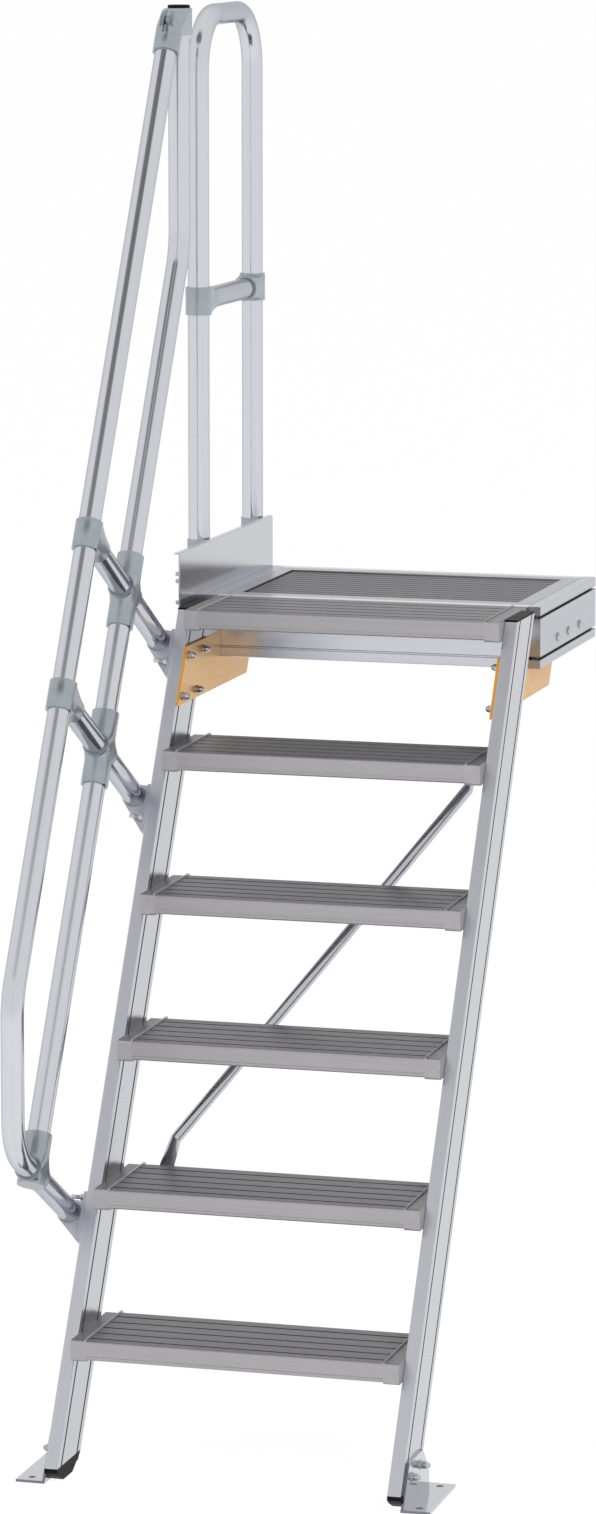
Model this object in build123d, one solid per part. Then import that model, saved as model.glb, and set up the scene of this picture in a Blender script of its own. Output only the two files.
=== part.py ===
from build123d import *
import math
import os

# Platform stair of aluminium extrusions, in millimetres.
# While it is drawn, X = 0 is the middle of the stair, Y = 0 the nose of the first tread
# and Z = 0 the floor. X is across the stair, Y goes back along it and Z goes up.
# At the end everything moves so that the origin lies on the platform's rear face.

# Flight
rise = 250.0
tread_count = 6
slope_angle = 60.0
clear_width = 620.0
going = rise / math.tan(math.radians(slope_angle))
platform_height = rise * tread_count
top_nose_y = going * (tread_count - 1)

# Beam section, used for the stringers and for the platform frame
beam_thickness = 25.0
beam_depth = 120.0
beam_edge_radius = 1.5
groove_spacing = 80.0
groove_width = 5.0
groove_depth = 8.0

# Stringers
stringer_setback = 40.0
stringer_inner_x = clear_width / 2
stringer_outer_x = stringer_inner_x + beam_thickness
stringer_mid_x = (stringer_inner_x + stringer_outer_x) / 2
stringer_rear = stringer_setback + beam_depth
stringer_middle = stringer_setback + beam_depth / 2
top_cap_thickness = 4.0
top_cap_drop = 1.0
stringer_top_z = platform_height - top_cap_drop - top_cap_thickness
foot_height = 29.0

# Treads
tread_depth = 216.0
tread_thickness = 36.0
tread_nose_radius = 4.0
tread_groove_width = 6.5
tread_groove_depth = 4.0
tread_first_groove = 24.0
tread_groove_pitch = 40.5
tread_groove_count = 5
nose_line_drop = 28.0
nose_line_size = 1.6
tread_channel_width = 50.0
tread_channel_depth = 8.0
cap_width = 29.5
cap_lip_width = 3.0
cap_lip_height = 3.0
cap_depth = 227.0
cap_thickness = 39.5
cap_corner = 6.0

# Platform
platform_gap = 1.3
platform_depth = 470.0
platform_front_y = top_nose_y + cap_depth + platform_gap
platform_rear_y = platform_front_y + platform_depth
platform_middle_z = platform_height - beam_depth / 2
border_flange = 32.0
border_sheet = 4.0
border_ledge = 46.0
deck_thickness = 30.0
deck_recess = 3.0
deck_gap = 3.0
deck_groove_pitch = 29.5
deck_groove_width = 5.0
deck_groove_depth = 4.0

# Joining plates between stringers and side rails
plate_thickness = 5.0
plate_top_z = 1430.0
plate_bottom_z = 1323.0
plate_rear_reach = 180.0
plate_front_setback = 1.0
plate_notch_gap = 0.2

# Toe board
toe_sheet = 3.0
toe_front_lead = 170.0
toe_rise = 102.0
toe_overlap = 24.0
toe_flange = 8.0

# Railing tubes and the plane that they lie in
tube_radius = 21.0
tube_fit = 0.2
rail_offset = 35.0
rail_x = -(stringer_outer_x + rail_offset)
handrail_distance = 448.0
knee_rail_distance = 185.0
handrail_front_y = -139.0
handrail_top_bend_radius = 140.0
handrail_low_bend_radius = 100.0
knee_bend_radius = 150.0
plug_height = 6.0
plug_radius = tube_radius + 0.5

# Stand-offs, measured along the nosing line from the first tread's nose
lower_station = 259.5
middle_station = 1084.0
upper_station = 1402.5
standoff_end = 84.0
standoff_rail_gap = 3.0

# Clamps
collar_radius = 25.5
clamp_rim = 3.0
clamp_cheek = 0.5
mouth_radius = 25.2
mouth_straight = 5.0
cross_body_length = 146.0
cross_mouth_reach = 31.0
handrail_clamp_length = 56.0
handrail_clamp_reach = 67.0
top_clamp_height = 51.0
top_clamp_end = 2466.0
top_clamp_socket = 66.0
top_clamp_reach = 53.0
top_clamp_wall = 16.0
top_clamp_shoulder = 20.0
top_clamp_ridge = 24.0
top_clamp_dome = 12.0
clamp_slot_width = 11.0
clamp_slot_length = 30.0
clamp_slot_depth = 7.0
clamp_slot_drop = 12.0

# Brackets on the stringers
bracket_base_thickness = 8.0
lower_bracket_below = 60.0
lower_bracket_above = 37.0
bracket_below = 76.0
bracket_above = 20.0
bracket_base_front = 46.0
bracket_base_rear = 116.0
bracket_cup_radius = 24.0
bracket_cup_front = 60.0
bracket_cup_rear = 96.0

# Guard loop at the platform
guard_front_gap = 83.0
guard_rear_setback = 25.0
guard_top_z = 2616.0
guard_bend_radius = 110.0
guard_bar_z = 2066.0
guard_clamp_height = 54.0
guard_clamp_reach = 58.0
post_socket_radius = 23.5
post_socket_lift = 6.0
post_socket_height = 214.0
post_flange_width = 50.0
post_flange_height = 80.0

# Diagonal brace behind the treads
brace_radius = 11.0
brace_clearance = 1.5
brace_end_x = 236.0
brace_low_tread = 2
brace_high_tread = 5
brace_tab_thickness = 5.0
brace_tab_width = 28.0
brace_tab_inset = 7.0
brace_low_flare = 38.0
brace_high_flare = 44.0

# Feet and floor brackets
foot_front_step = 8.0
foot_toe_front = 13.0
foot_toe_height = 12.0
foot_sole_front = 38.0
foot_sole_rear = 90.0
foot_heel_rise = 13.0
foot_heel_run = 24.0
foot_heel_step = 6.0
floor_sheet = 5.0
floor_plate_width = 50.0
floor_front_y = -81.0
floor_rear_y = 105.0
floor_upright_z = 79.0
floor_rear_corner_y = 60.0
floor_rear_corner_z = 30.0
floor_front_top_y = -35.0
floor_hole_radius = 6.5
floor_hole_end = 20.0
floor_hole_inset = 25.0

sine = math.sin(math.radians(slope_angle))
cosine = math.cos(math.radians(slope_angle))
long_enough = 4000.0
parts = {}


def slope_point(behind, along, x=0.0):
    """Point at a distance behind the nosing line and a distance up along it."""
    y = behind * sine + along * cosine
    z = rise - behind * cosine + along * sine
    return Vector(x, y, z)


def slope_plane(behind, along, x=0.0):
    """Plane across the slope: its x is the stair's X, its y points behind the nosing line."""
    return Plane(origin=slope_point(behind, along, x), x_dir=(1, 0, 0), z_dir=(0, cosine, sine))


def behind_plane(behind, along, x=0.0):
    """Plane square to the stand-offs: its x is the stair's X and its y runs down the slope."""
    return Plane(origin=slope_point(behind, along, x), x_dir=(1, 0, 0), z_dir=(0, sine, -cosine))


def side_plane(x=0.0):
    """Upright plane along the stair: its x is the stair's Y and its y is Z."""
    return Plane(origin=(x, 0, 0), x_dir=(0, 1, 0), z_dir=(1, 0, 0))


def side_extrude(points, x_low, x_high):
    """Outline given as (Y, Z) pairs, drawn out from x_low to x_high."""
    face = make_face(Polyline(*points, close=True))
    return extrude(side_plane(x_low) * face, amount=x_high - x_low)


def box_between(low, high):
    """Box given by two opposite corners."""
    size = [high[i] - low[i] for i in range(3)]
    middle = [(high[i] + low[i]) / 2 for i in range(3)]
    return Pos(*middle) * Box(*size)


def rod(start, end, radius):
    """Round bar from one point to another."""
    start = Vector(*start)
    end = Vector(*end)
    plane = Plane(origin=start, z_dir=end - start)
    return extrude(plane * Circle(radius), amount=(end - start).length)


def mirrored(shape):
    """The same piece on the other side of the stair."""
    return shape.mirror(Plane.YZ)


# Beam section: a rounded rectangle with two grooves in each wide face.
def beam_section():
    section = RectangleRounded(beam_thickness, beam_depth, beam_edge_radius)
    for side in (-1, 1):
        for offset in (-groove_spacing / 2, groove_spacing / 2):
            groove = Rectangle(2 * groove_depth, groove_width)
            section -= Pos(side * beam_thickness / 2, offset) * groove
    return section


# Stringers: the beam section drawn along the slope and cut level at both ends.
def right_stringer():
    start = slope_plane(stringer_middle, -rise * 2, stringer_mid_x)
    bar = extrude(start * beam_section(), amount=platform_height * 2)
    keep = box_between((0, -long_enough, foot_height), (long_enough, long_enough, stringer_top_z))
    return bar & keep


def stringer_front_y(z):
    return (stringer_setback + (z - rise) * cosine) / sine


def stringer_rear_y(z):
    return (stringer_rear + (z - rise) * cosine) / sine


parts["right_stringer"] = right_stringer()
parts["left_stringer"] = mirrored(parts["right_stringer"])


# Level caps that close the tops of the stringers.
def top_cap():
    low_z = stringer_top_z
    high_z = stringer_top_z + top_cap_thickness
    outline = [
        (stringer_front_y(low_z), low_z),
        (stringer_rear_y(low_z), low_z),
        (stringer_rear_y(low_z), high_z),
        (stringer_front_y(low_z), high_z),
    ]
    cap = side_extrude(outline, stringer_inner_x, stringer_outer_x)
    return chamfer(cap.edges().group_by(Axis.Z)[-1], 1.5)


cap_right = top_cap()
parts["stringer_top_caps"] = Compound(children=[cap_right, mirrored(cap_right)])


# Tread: a plank extrusion with a rounded nose, grooves on top and channels below.
def tread(nose_y, top_z):
    section = Pos(tread_depth / 2, -tread_thickness / 2) * Rectangle(tread_depth, tread_thickness)
    front = section.vertices().group_by(Axis.X)[0]
    section = fillet(front, tread_nose_radius)
    for i in range(tread_groove_count):
        x = tread_first_groove + i * tread_groove_pitch
        section -= Pos(x, 0) * Rectangle(tread_groove_width, 2 * tread_groove_depth)
    section -= Pos(0, -nose_line_drop) * Rectangle(nose_line_size, nose_line_size)
    for x in (tread_depth * 0.3, tread_depth * 0.72):
        section -= Pos(x, -tread_thickness) * Rectangle(tread_channel_width, 2 * tread_channel_depth)
    length = clear_width - 2 * cap_width
    plank = extrude(side_plane(-length / 2) * section, amount=length)
    return Pos(0, nose_y, top_z) * plank


# End cap of a tread: a moulded block with a thin raised lip round the plank's end.
def tread_cap(nose_y, top_z):
    block_outline = Pos(tread_depth / 2, -cap_thickness / 2) * Rectangle(tread_depth, cap_thickness)
    block_outline = fillet(block_outline.vertices().group_by(Axis.Y)[0], cap_corner)
    block_outline = fillet(block_outline.vertices().group_by(Axis.Y)[-1], tread_nose_radius)
    lip_height = cap_thickness + cap_lip_height
    lip_outline = Pos(cap_depth / 2, cap_lip_height - lip_height / 2) * Rectangle(cap_depth, lip_height)
    lip_outline = fillet(lip_outline.vertices(), cap_corner)
    inner_x = stringer_inner_x - cap_width
    block = extrude(side_plane(inner_x) * block_outline, amount=cap_width)
    lip = extrude(side_plane(inner_x) * lip_outline, amount=cap_lip_width)
    return Pos(0, nose_y, top_z) * (block + lip)


right_caps = []
left_caps = []
for i in range(tread_count):
    nose_y = going * i
    top_z = rise * (i + 1)
    name = "top_tread" if i == tread_count - 1 else f"tread_{i + 1}"
    parts[name] = tread(nose_y, top_z)
    cap = tread_cap(nose_y, top_z)
    right_caps.append(cap)
    left_caps.append(mirrored(cap))
parts["right_tread_caps"] = Compound(children=right_caps)
parts["left_tread_caps"] = Compound(children=left_caps)


# Platform frame: two side rails that run full depth and two beams between them.
def side_rail():
    front_end = (stringer_mid_x, platform_front_y, platform_middle_z)
    start = Plane(origin=front_end, x_dir=(1, 0, 0), z_dir=(0, 1, 0))
    return extrude(start * beam_section(), amount=platform_depth)


def cross_beam(front_y):
    middle_y = front_y + beam_thickness / 2
    start = Plane(origin=(-stringer_inner_x, middle_y, platform_middle_z), x_dir=(0, 1, 0), z_dir=(1, 0, 0))
    return extrude(start * beam_section(), amount=clear_width)


# Joining plate: fixed to the inner faces of a stringer and of its side rail.
def plate_outline(grow=0.0):
    front = stringer_setback + plate_front_setback - grow
    top_z = plate_top_z + grow
    bottom_z = plate_bottom_z - grow

    def edge_y(behind, z):
        return (behind + (z - rise) * cosine) / sine

    rear_bottom_y = platform_front_y + plate_rear_reach
    rear_top_y = rear_bottom_y + (top_z - bottom_z) * cosine / sine
    return [
        (edge_y(front, bottom_z), bottom_z),
        (rear_bottom_y, bottom_z),
        (rear_top_y, top_z),
        (edge_y(front, top_z), top_z),
    ]


def right_plate(grow=0.0):
    inner_x = stringer_inner_x - plate_thickness - grow
    return side_extrude(plate_outline(grow), inner_x, stringer_inner_x)


parts["right_side_rail"] = side_rail()
parts["left_side_rail"] = mirrored(side_rail())
plate_room = right_plate(plate_notch_gap)
front_beam = cross_beam(platform_front_y)
parts["platform_front_beam"] = front_beam - plate_room - mirrored(plate_room)
parts["platform_rear_beam"] = cross_beam(platform_rear_y - beam_thickness)
parts["right_joining_plate"] = right_plate()
parts["left_joining_plate"] = mirrored(right_plate())


# Deck border: a folded frame with a flange on top and a ledge below that holds the deck.
def deck_border():
    outer_x = stringer_inner_x
    front_y = platform_front_y + beam_thickness
    rear_y = platform_rear_y - beam_thickness
    ledge_top_z = platform_height - deck_recess - deck_thickness
    low_z = ledge_top_z - border_sheet
    block = box_between((-outer_x, front_y, low_z), (outer_x, rear_y, platform_height))

    def inside(margin, low, high):
        low_corner = (-outer_x + margin, front_y + margin, low)
        high_corner = (outer_x - margin, rear_y - margin, high)
        return box_between(low_corner, high_corner)

    block -= inside(border_flange, ledge_top_z, platform_height)
    block -= inside(border_ledge, low_z, ledge_top_z)
    block -= inside(border_sheet, ledge_top_z, platform_height - border_sheet)
    return block


# Deck: a ribbed panel, a little lower than the border, with a dark gap round it.
def deck_panel():
    margin = border_flange + deck_gap
    x = stringer_inner_x - margin
    front_y = platform_front_y + beam_thickness + margin
    rear_y = platform_rear_y - beam_thickness - margin
    top_z = platform_height - deck_recess
    panel = box_between((-x, front_y, top_z - deck_thickness), (x, rear_y, top_z))
    span = rear_y - front_y
    count = int(span / deck_groove_pitch)
    first = front_y + (span - (count - 1) * deck_groove_pitch) / 2
    for i in range(count):
        y = first + i * deck_groove_pitch
        low = (-x, y - deck_groove_width / 2, top_z - deck_groove_depth)
        high = (x, y + deck_groove_width / 2, top_z)
        panel -= box_between(low, high)
    return panel


parts["deck_border"] = deck_border()
parts["deck_panel"] = deck_panel()


# Toe board: a sheet outside the left side rail with its top edge folded outwards.
def toe_board():
    face_x = -stringer_outer_x
    front_y = platform_front_y - toe_front_lead
    rear_y = platform_rear_y
    low_z = platform_height - toe_overlap
    high_z = platform_height + toe_rise
    sheet = box_between((face_x - toe_sheet, front_y, low_z), (face_x, rear_y, high_z))
    flange_x = face_x - toe_sheet - toe_flange
    flange = box_between((flange_x, front_y, high_z - toe_sheet), (face_x, rear_y, high_z))
    board = sheet + flange
    bend = board.edges().filter_by(Axis.Y).group_by(Axis.Z)[-1].sort_by(Axis.X)[-1]
    return fillet(bend, toe_sheet * 0.8)


parts["toe_board"] = toe_board()


# Railing tubes: straight runs joined by bends, all in one upright plane.
def tube_on_path(points, radii):
    path = FilletPolyline(*points, radius=radii)
    start = Plane(origin=path @ 0, z_dir=path % 0)
    return sweep(start * Circle(tube_radius), path=path)


def rail_point(y, z):
    return (rail_x, y, z)


def slope_z(behind, y):
    """Height of a line parallel to the nosing line where it passes the given Y."""
    along = (y - behind * sine) / cosine
    return rise - behind * cosine + along * sine


def station_point(behind, along):
    point = slope_point(behind, along, rail_x)
    return (point.X, point.Y, point.Z)


def behind_at_y(y, along):
    """Distance behind the nosing line of a stand-off line where it passes the given Y."""
    return (y - along * cosine) / sine


top_clamp_point = station_point(-handrail_distance, top_clamp_end)
knee_vertical_y = top_clamp_point[1] + top_clamp_reach
knee_top_z = top_clamp_point[2] + collar_radius
handrail_end = station_point(-handrail_distance, top_clamp_end - top_clamp_wall)
handrail_corner = rail_point(handrail_front_y, slope_z(-handrail_distance, handrail_front_y))
low_corner = station_point(behind_at_y(handrail_front_y, lower_station), lower_station)
handrail_foot = station_point(-knee_rail_distance - tube_radius - standoff_rail_gap, lower_station)
parts["handrail"] = tube_on_path(
    [handrail_end, handrail_corner, low_corner, handrail_foot],
    [handrail_top_bend_radius, handrail_low_bend_radius],
)

knee_foot = station_point(-knee_rail_distance, lower_station)
knee_corner = rail_point(knee_vertical_y, slope_z(-knee_rail_distance, knee_vertical_y))
knee_top = rail_point(knee_vertical_y, knee_top_z)
parts["knee_rail"] = tube_on_path([knee_foot, knee_corner, knee_top], [knee_bend_radius])
plug = rod(knee_top, rail_point(knee_vertical_y, knee_top_z + plug_height), plug_radius)
parts["knee_rail_plug"] = fillet(plug.edges().group_by(Axis.Z)[-1], 2.5)

# The guard loop stands just behind the knee rail's upright part.
guard_front_y = knee_vertical_y + guard_front_gap + 2 * tube_radius
guard_back_y = platform_rear_y - guard_rear_setback
post_socket_bottom_z = platform_height - beam_depth + post_socket_lift
post_socket_top_z = post_socket_bottom_z + post_socket_height
post_flange_top_z = post_socket_bottom_z + post_flange_height
guard_points = [
    rail_point(guard_front_y, post_socket_bottom_z + floor_sheet),
    rail_point(guard_front_y, guard_top_z),
    rail_point(guard_back_y, guard_top_z),
    rail_point(guard_back_y, post_socket_bottom_z + floor_sheet),
]
parts["guard_loop"] = tube_on_path(guard_points, [guard_bend_radius, guard_bend_radius])


# Stand-offs: each runs square to the slope, from its bracket to the rails.
def standoff(along, start, end):
    return rod(station_point(start, along), station_point(end, along), tube_radius)


knee_side = -knee_rail_distance + tube_radius + standoff_rail_gap
outer_side = -knee_rail_distance - tube_radius - standoff_rail_gap
hand_side = -handrail_distance + tube_radius + standoff_rail_gap
parts["lower_standoff"] = standoff(lower_station, knee_side, standoff_end)
for name, station in (("middle", middle_station), ("upper", upper_station)):
    inner = standoff(station, knee_side, standoff_end)
    outer = standoff(station, hand_side, outer_side)
    parts[f"{name}_standoffs"] = Compound(children=[inner, outer])


# Clamps: a sleeve on the rail that runs through, and tapered sockets for tubes square to it.
def rail_bore(behind, low, high):
    """Room for a rail between two distances up along the slope."""
    return rod(station_point(behind, low), station_point(behind, high), tube_radius + tube_fit)


def socket_taper(plane, low, high, reach):
    """Tapered socket square to a sleeve, from a flat root between two heights to a round mouth.

    The plane lies on the sleeve's axis with its y along it, and faces the way that the socket goes.
    """
    width = 2 * (collar_radius - clamp_cheek)
    root = plane * (Pos(0, (low + high) / 2) * Rectangle(width, high - low))
    rim_origin = plane.origin + plane.z_dir * (reach - mouth_straight)
    rim = Plane(origin=rim_origin, x_dir=plane.x_dir, z_dir=plane.z_dir) * Circle(mouth_radius)
    return loft([root, rim]) + extrude(rim, amount=mouth_straight)


def socket_bore(plane, reach):
    """Bore of a socket, from just outside the rail that runs through to the socket's mouth."""
    start = plane.origin + plane.z_dir * (tube_radius + standoff_rail_gap / 2)
    end = plane.origin + plane.z_dir * (reach + standoff_rail_gap)
    return rod(tuple(start), tuple(end), tube_radius + tube_fit)


def side_planes(behind, along):
    """Planes on a slanted rail's axis that face outwards and towards the stringer."""
    origin = station_point(behind, along)
    outwards = Plane(origin=origin, x_dir=(1, 0, 0), z_dir=(0, -sine, cosine))
    inwards = Plane(origin=origin, x_dir=(-1, 0, 0), z_dir=(0, sine, -cosine))
    return outwards, inwards


def cross_clamp(along, low, bore_low):
    """Clamp between two heights on the knee rail, with a socket to each side of it."""
    high = cross_body_length / 2
    sleeve_low = station_point(-knee_rail_distance, along + low)
    body = rod(sleeve_low, station_point(-knee_rail_distance, along + high), collar_radius)
    planes = side_planes(-knee_rail_distance, along)
    for plane in planes:
        body += socket_taper(plane, low + clamp_rim, high - clamp_rim, cross_mouth_reach)
    body -= rail_bore(-knee_rail_distance, along + bore_low, along + cross_body_length)
    for plane in planes:
        body -= socket_bore(plane, cross_mouth_reach)
    return body


half_cross = cross_body_length / 2
parts["middle_cross_clamp"] = cross_clamp(middle_station, -half_cross, -cross_body_length)
parts["upper_cross_clamp"] = cross_clamp(upper_station, -half_cross, -cross_body_length)

# Lower clamp: the upper half of a cross clamp, because the knee rail ends in it.
parts["lower_clamp"] = cross_clamp(lower_station, -mouth_radius, 0.0)


# Handrail clamp: a sleeve on the handrail with one long tapered socket for the stand-off.
def handrail_clamp(along):
    half = handrail_clamp_length / 2
    low_end = station_point(-handrail_distance, along - half)
    body = rod(low_end, station_point(-handrail_distance, along + half), collar_radius)
    inwards = side_planes(-handrail_distance, along)[1]
    body += socket_taper(inwards, clamp_rim - half, half - clamp_rim, handrail_clamp_reach)
    length = handrail_clamp_length
    body -= rail_bore(-handrail_distance, along - length, along + length)
    return body - socket_bore(inwards, handrail_clamp_reach)


parts["middle_handrail_clamp"] = handrail_clamp(middle_station)
parts["upper_handrail_clamp"] = handrail_clamp(upper_station)


# Top clamp: a sleeve on the upright end of the knee rail and a domed socket for the handrail's end,
# joined by flat cheeks, with a narrower slotted ridge in front of them.
def top_clamp():
    low_z = knee_top_z - top_clamp_height
    collar = rod(rail_point(knee_vertical_y, low_z), rail_point(knee_vertical_y, knee_top_z), collar_radius)
    mouth = station_point(-handrail_distance, top_clamp_end - top_clamp_socket)
    end = top_clamp_point
    socket = rod(mouth, end, collar_radius)
    socket = fillet(socket.edges().sort_by(Axis.Z)[-1], top_clamp_dome)
    cheek = collar_radius - clamp_cheek
    axis_low_y = end[1] - (end[2] - low_z) * cosine / sine
    cheeks = side_extrude(
        [
            (axis_low_y, low_z),
            (knee_vertical_y, low_z),
            (knee_vertical_y, knee_top_z),
            (end[1], end[2]),
        ],
        rail_x - cheek,
        rail_x + cheek,
    )
    ridge_front_y = end[1] - cheek * sine
    ridge_front_z = end[2] + cheek * cosine
    ridge = side_extrude(
        [
            (ridge_front_y - top_clamp_shoulder * cosine, ridge_front_z - top_clamp_shoulder * sine),
            (end[1], end[2]),
            (knee_vertical_y, knee_top_z),
            (ridge_front_y + top_clamp_shoulder, knee_top_z),
            (ridge_front_y, ridge_front_z),
        ],
        rail_x - top_clamp_ridge / 2,
        rail_x + top_clamp_ridge / 2,
    )
    body = collar + socket + cheeks + ridge
    bore_top = rail_point(knee_vertical_y, knee_top_z + collar_radius)
    body -= rod(rail_point(knee_vertical_y, low_z - collar_radius), bore_top, tube_radius + tube_fit)
    inner_end = station_point(-handrail_distance, top_clamp_end - top_clamp_wall)
    body -= rod(mouth, inner_end, tube_radius + tube_fit)
    slot_face_y = ridge_front_y + clamp_slot_depth
    slot_top_z = knee_top_z - clamp_slot_drop
    body -= box_between(
        (rail_x - clamp_slot_width / 2, ridge_front_y - long_enough, slot_top_z - clamp_slot_length),
        (rail_x + clamp_slot_width / 2, slot_face_y, slot_top_z),
    )
    below_plug = box_between((-long_enough, -long_enough, 0), (long_enough, long_enough, knee_top_z))
    return body & below_plug


parts["top_clamp"] = top_clamp()


# Stringer bracket: one outline drawn round its base and its cup, and a wider foot on the stringer.
def stringer_bracket(along, above, below):
    face_x = -stringer_outer_x
    thickness = bracket_base_thickness

    # In this plane x is the stair's X and y runs down the slope from the stand-off's axis.
    def base(reach):
        middle_x = face_x - thickness / 2
        return Pos(middle_x, (below - reach) / 2) * Rectangle(thickness, reach + below)

    cup = Pos(rail_x, 0) * Circle(bracket_cup_radius)
    outline = make_hull(base(bracket_above).edges() + cup.edges())
    front = behind_plane(bracket_cup_front, along)
    body = extrude(front * outline, amount=bracket_cup_rear - bracket_cup_front)
    foot = behind_plane(bracket_base_front, along) * base(above)
    body += extrude(foot, amount=bracket_base_rear - bracket_base_front)
    bore_start = station_point(bracket_cup_front - bracket_cup_radius, along)
    return body - rod(bore_start, station_point(standoff_end, along), tube_radius + tube_fit)


lower_bracket = stringer_bracket(lower_station, lower_bracket_above, lower_bracket_below)
parts["lower_stringer_bracket"] = lower_bracket
for name, station in (("middle", middle_station), ("upper", upper_station)):
    parts[f"{name}_stringer_bracket"] = stringer_bracket(station, bracket_above, bracket_below)


# Crossbar of the guard loop, held by a collar on each post.
def guard_bar():
    start = rail_point(guard_front_y + tube_radius + standoff_rail_gap, guard_bar_z)
    end = rail_point(guard_back_y - tube_radius - standoff_rail_gap, guard_bar_z)
    return rod(start, end, tube_radius)


def guard_clamp(post_y, direction):
    half = guard_clamp_height / 2
    low_end = rail_point(post_y, guard_bar_z - half)
    body = rod(low_end, rail_point(post_y, guard_bar_z + half), collar_radius)
    axis = rail_point(post_y, guard_bar_z)
    plane = Plane(origin=axis, x_dir=(-direction, 0, 0), z_dir=(0, direction, 0))
    body += socket_taper(plane, clamp_rim - half, half - clamp_rim, guard_clamp_reach)
    body -= rod(
        rail_point(post_y, guard_bar_z - half * 2),
        rail_point(post_y, guard_bar_z + half * 2),
        tube_radius + tube_fit,
    )
    return body - socket_bore(plane, guard_clamp_reach)


parts["guard_crossbar"] = guard_bar()
parts["front_guard_clamp"] = guard_clamp(guard_front_y, 1)
parts["back_guard_clamp"] = guard_clamp(guard_back_y, -1)


# Post bracket: a long socket for a post with a flange on the side rail.
def post_bracket(post_y):
    face_x = -stringer_outer_x
    low_z = post_socket_bottom_z
    socket = rod(rail_point(post_y, low_z), rail_point(post_y, post_socket_top_z), post_socket_radius)
    half = post_flange_width / 2
    flange = box_between(
        (face_x - bracket_base_thickness, post_y - half, low_z),
        (face_x, post_y + half, post_flange_top_z),
    )
    web = box_between(
        (rail_x, post_y - post_socket_radius * 0.7, low_z),
        (face_x - bracket_base_thickness, post_y + post_socket_radius * 0.7, post_flange_top_z - 8),
    )
    body = socket + flange + web
    bore_low = rail_point(post_y, low_z + floor_sheet)
    bore_top = rail_point(post_y, post_socket_top_z)
    return body - rod(bore_low, bore_top, tube_radius + tube_fit)


parts["front_post_bracket"] = post_bracket(guard_front_y)
parts["back_post_bracket"] = post_bracket(guard_back_y)


# Diagonal brace: a tube behind the treads, its ends flattened and fixed to two of them.
def tread_rear_corner(number):
    """Y of a tread's rear face and Z of its top and bottom."""
    rear_y = going * (number - 1) + tread_depth
    top_z = rise * number
    return rear_y, top_z, top_z - tread_thickness


def diagonal_brace():
    rear_y, top_z, bottom_z = tread_rear_corner(1)
    clear_of_treads = rear_y * sine - (bottom_z - rise) * cosine
    axis_behind = clear_of_treads + brace_clearance + brace_radius

    def axis_point(x, z):
        y = (axis_behind + (z - rise) * cosine) / sine
        return Vector(x, y, z)

    def tab(number, x, below, above):
        rear_y, top_z, bottom_z = tread_rear_corner(number)
        low = (x - brace_tab_width / 2, rear_y, bottom_z - below)
        high = (x + brace_tab_width / 2, rear_y + brace_tab_thickness, top_z + above)
        return low, high

    low_low, low_high = tab(brace_low_tread, -brace_end_x, -brace_tab_inset, 1.0)
    high_low, high_high = tab(brace_high_tread, brace_end_x, 1.0, -brace_tab_inset)
    tube_start = axis_point(-brace_end_x, low_high[2] + brace_low_flare)
    tube_end = axis_point(brace_end_x, high_low[2] - brace_high_flare)
    direction = (tube_end - tube_start).normalized()
    body = rod(tube_start, tube_end, brace_radius)
    flat = Rectangle(brace_tab_width, brace_tab_thickness)
    for low, high, joint_z, end in (
        (low_low, low_high, low_high[2], tube_start),
        (high_low, high_high, high_low[2], tube_end),
    ):
        middle = ((low[0] + high[0]) / 2, (low[1] + high[1]) / 2, joint_z)
        flat_end = Plane(origin=middle, x_dir=(1, 0, 0), z_dir=(0, 0, 1)) * flat
        round_end = Plane(origin=end, x_dir=(1, 0, 0), z_dir=direction) * Circle(brace_radius)
        body += loft([flat_end, round_end] if joint_z < end.Z else [round_end, flat_end])
        body += box_between(low, high)
    return body


parts["diagonal_brace"] = diagonal_brace()


# Foot: a moulded plug under the level cut of a stringer, with a stepped toe and a raised heel.
def right_foot():
    front_y = stringer_front_y(foot_height)
    rear_y = stringer_rear_y(foot_height)
    outline = [
        (front_y, foot_height),
        (front_y, foot_height - foot_front_step),
        (front_y + foot_toe_front, foot_toe_height),
        (front_y + foot_sole_front, 0),
        (front_y + foot_sole_rear, 0),
        (front_y + foot_sole_rear + foot_heel_run, foot_heel_rise),
        (front_y + foot_sole_rear + foot_heel_run + foot_heel_step, foot_heel_rise),
        (rear_y, foot_height),
    ]
    return side_extrude(outline, stringer_inner_x, stringer_outer_x)


foot = right_foot()
parts["feet"] = Compound(children=[foot, mirrored(foot)])


# Floor bracket: a bent plate with an upright on the stringer and a drilled floor plate.
def right_floor_bracket():
    face_x = stringer_outer_x
    upright = side_extrude(
        [
            (floor_front_y, 0),
            (floor_rear_y, 0),
            (floor_rear_y, floor_rear_corner_z),
            (floor_rear_corner_y, floor_upright_z),
            (floor_front_top_y, floor_upright_z),
        ],
        face_x,
        face_x + floor_sheet,
    )
    outer_x = face_x + floor_sheet + floor_plate_width
    base = box_between((face_x, floor_front_y, 0), (outer_x, floor_rear_y, floor_sheet))
    body = upright + base
    hole_x = face_x + floor_sheet + floor_hole_inset
    for y in (floor_front_y + floor_hole_end, floor_rear_y - floor_hole_end):
        body -= rod((hole_x, y, 0), (hole_x, y, floor_sheet), floor_hole_radius)
    return body


parts["right_floor_bracket"] = right_floor_bracket()
parts["left_floor_bracket"] = mirrored(right_floor_bracket())

# The origin is the middle of the platform's rear face, where the stair is fixed.
to_origin = Pos(0, -platform_rear_y, -platform_middle_z)

os.makedirs("parts", exist_ok=True)
for name, shape in parts.items():
    export_step(to_origin * shape, f"parts/{name}.step")
print("platform front", platform_front_y, "rear", platform_rear_y, "origin height", platform_middle_z)
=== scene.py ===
import math

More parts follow.
